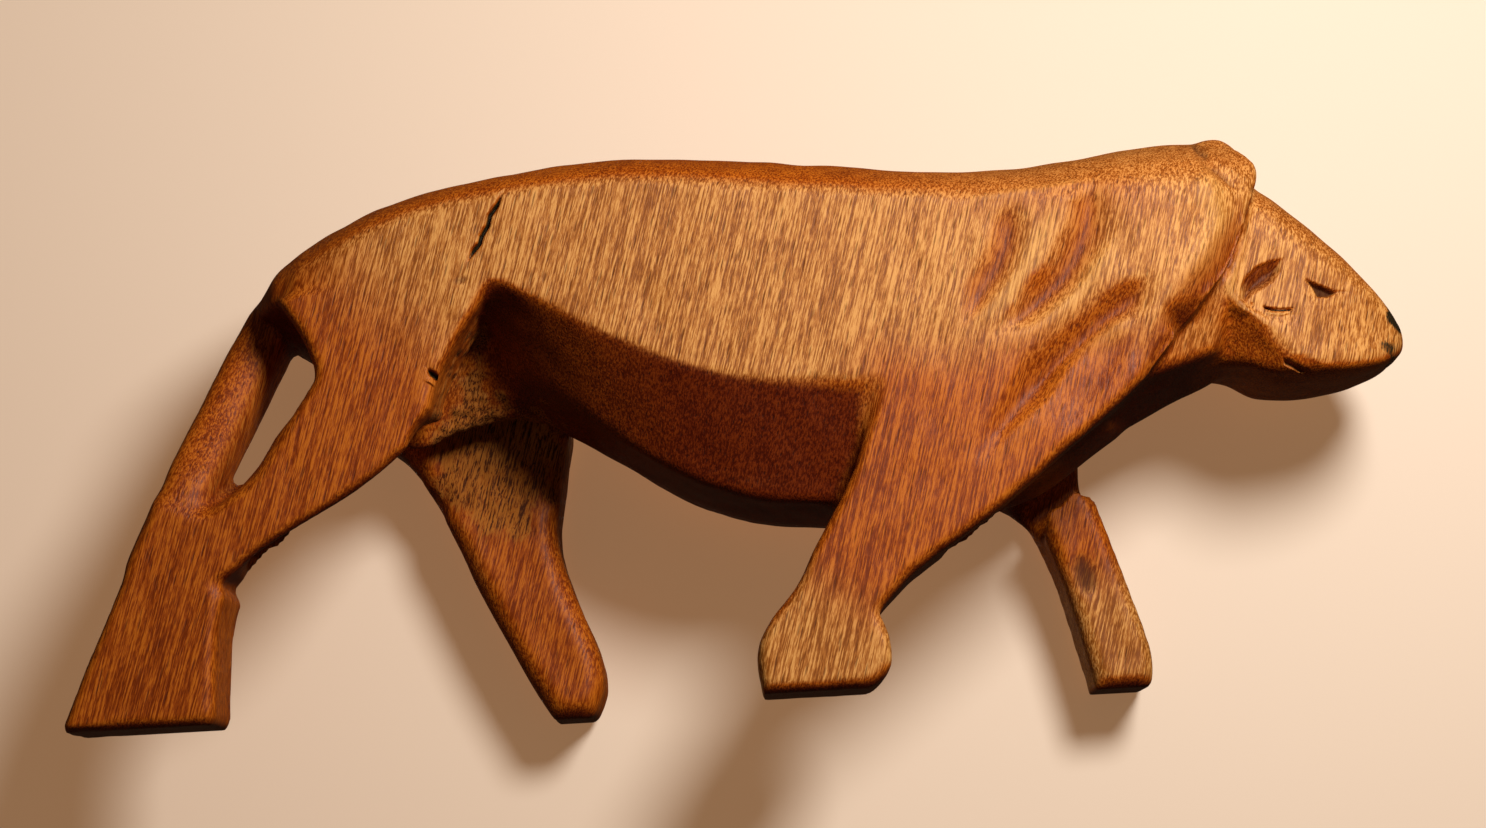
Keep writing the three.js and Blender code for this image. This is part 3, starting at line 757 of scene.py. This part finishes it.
# Paints shade into the hollows, with the oil that stays there, onto the undersides, faces turned up on the
# back, the listed areas and the belly facet; crests are worn pale by hands and painted pale as highlight.
def paintWearAndShade(carving):
    normals = carving.normals()
    points = carving.points
    smooth = points.copy()
    for _ in range(wearAndShade["slackPasses"]):
        smooth += (carving.neighbourMean(smooth) - smooth) * wearAndShade["slackPull"]
    bend = carving.neighbourMean(((smooth - points) * normals).sum(axis=1))
    # Hollows painted darker as shade, with the oil that stays there.
    carving.mark("shadeAndOil", smoothStep(bend, *wearAndShade["hollows"]) * wearAndShade["hollowShadeAndOil"])
    # Convex crests painted pale, as wear and painted highlight.
    carving.mark("wearAndHighlight", smoothStep(-bend, *wearAndShade["crests"]) * wearAndShade["crestWearAndHighlight"])
    back = 1 - smoothStep(points[:, 0], *wearAndShade["back"]) * wearAndShade["backFade"]
    # Faces turned up on the back, and faces turned down, painted redder as shade.
    carving.mark("redShade", smoothStep(normals[:, 2], *wearAndShade["upward"]) * back)
    carving.mark("redShade", smoothStep(-normals[:, 2], *wearAndShade["downward"]))
    # Undersides painted dark as shade, less towards the throat.
    throat = smoothStep(points[:, 0], *wearAndShade["throat"]) * wearAndShade["throatFade"]
    carving.mark("shadeAndOil", smoothStep(-normals[:, 2], *wearAndShade["underside"]) * (wearAndShade["undersideShade"] - throat))
    # Listed areas painted redder as shade.
    for area in redShadeAreas:
        share = smoothStep(insideBy(points, area["outline"]), -area["soft"] / 2, area["soft"] / 2)
        carving.mark("redShade", share * area["amount"])
    # The belly facet, turned down, painted dark as shade.
    facet = bellyFacet
    facing = smoothStep(-normals[:, 2], *facet["facing"]) * smoothStep(-points[:, 1], *facet["side"])
    corner = facet["amount"] + smoothStep(points[:, 0], *facet["corner"]) * facet["amount"]
    carving.mark("shadeAndOil", smoothStep(insideBy(points, facet["outline"]), *facet["edge"]) * facing * corner)


def makeLion():
    body = lionBody()
    levelForm(body.data)
    for area in fineAreas:
        for _ in range(area["rounds"]):
            refine(body.data, area)
        print("finer grid:", len(body.data.vertices), "points")
    carving = Carving(body.data)
    carveSurface(carving)
    tearCrotch(carving)
    paintNose(carving)
    paintKnot(carving)
    paintWearAndShade(carving)
    carving.points = np.clip(carving.points, *(np.array(cadBox) / mm))
    carving.write()
    carving.storePaint()
    triangles = sum(len(face.vertices) - 2 for face in body.data.polygons)
    body.data.materials.clear()
    body.data.materials.append(oiledWood())
    body.data.polygons.foreach_set("use_smooth", [True] * len(body.data.polygons))
    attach(body, "root")
    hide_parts("lion")
    print("lion carved:", triangles, "triangles")


studio = {
    "wallY": 13.05,
    "wallSize": 900.0,
    "floorSize": 1400.0,
    "paper": (0.72, 0.67, 0.60),
    "glow": (0.24, 0.125, 0.06),  # light that pale surroundings give back to the paper
    "sky": (1.0, 0.66, 0.38),
    "skyStrength": 0.055,
}


# Pale paper that is seen from its front only, so that it hides nothing from behind or below.
def palePaper():
    material, sheet = newMaterial("palePaper")
    seen = sheet.node("ShaderNodeLightPath", output="Is Camera Ray")
    back = sheet.node("ShaderNodeNewGeometry", output="Backfacing")
    clear = sheet.node("ShaderNodeBsdfTransparent")
    plain = sheet.node("ShaderNodeBsdfDiffuse", None, {"Color": (*studio["paper"], 1)})
    glow = sheet.node("ShaderNodeEmission", None, {"Color": (*studio["glow"], 1)})
    paper = sheet.node("ShaderNodeAddShader", None, {0: plain, 1: glow})
    mixed = sheet.node("ShaderNodeMixShader", None, {0: seen * (1 - back), 1: clear, 2: paper})
    sheet.node("ShaderNodeOutputMaterial", None, {"Surface": mixed})
    return material


def makeStudio():
    material = palePaper()
    upright = Matrix.Rotation(math.radians(90), 4, "X")
    wallPlace = Matrix.Translation((0, studio["wallY"] * mm, 0)) @ upright
    for name, size, place in (
        ("wall", studio["wallSize"], wallPlace),
        ("floor", studio["floorSize"], Matrix.Identity(4)),
    ):
        form = bmesh.new()
        bmesh.ops.create_grid(form, x_segments=1, y_segments=1, size=size / 2 * mm, matrix=place)
        mesh = bpy.data.meshes.new(name)
        form.to_mesh(mesh)
        form.free()
        plane = bpy.data.objects.new(name, mesh)
        mesh.materials.append(material)
        bpy.context.scene.collection.objects.link(plane)
    world = bpy.data.worlds.new("paleSky")
    world.use_nodes = True
    sky = world.node_tree.nodes["Background"]
    sky.inputs["Color"].default_value = (*studio["sky"], 1)
    sky.inputs["Strength"].default_value = studio["skyStrength"]
    bpy.context.scene.world = world
    print("studio built")


lampAim = (0, 0, 25)

# The key stands close, over the head. The sheen is only mirrored, and the far side's lamp is never mirrored.
lamps = {
    "key": {"place": (85, -170, 110), "size": 70, "power": 0.50, "colour": (1, 0.90, 0.80)},
    "sheen": {"place": (6, -83, 55), "size": 14, "power": 0.003, "colour": (1, 0.95, 0.88),
              "lit": "glossy"},
    "farSide": {"place": (-60, 300, 90), "size": 300, "power": 0.5, "colour": (1, 0.92, 0.82),
                "lit": "diffuse"},
}


def setLamps():
    for name, lamp in lamps.items():
        light = bpy.data.lights.new(name, "AREA")
        light.shape = "DISK"
        light.size = lamp["size"] * mm
        light.energy = lamp["power"]
        light.color = lamp["colour"]
        holder = bpy.data.objects.new(name, light)
        place = Vector(lamp["place"])
        aim = Vector(lampAim) - place
        turn = aim.to_track_quat("-Z", "Y").to_matrix().to_4x4()
        holder.matrix_world = Matrix.Translation(place * mm) @ turn
        holder.visible_diffuse = lamp.get("lit") != "glossy"
        holder.visible_glossy = lamp.get("lit") != "diffuse"
        holder.visible_camera = False
        bpy.context.scene.collection.objects.link(holder)
    print("lamps set")


makeLion()
makeStudio()
setLamps()
setCamera()
bpy.context.scene.view_settings.view_transform = "Standard"
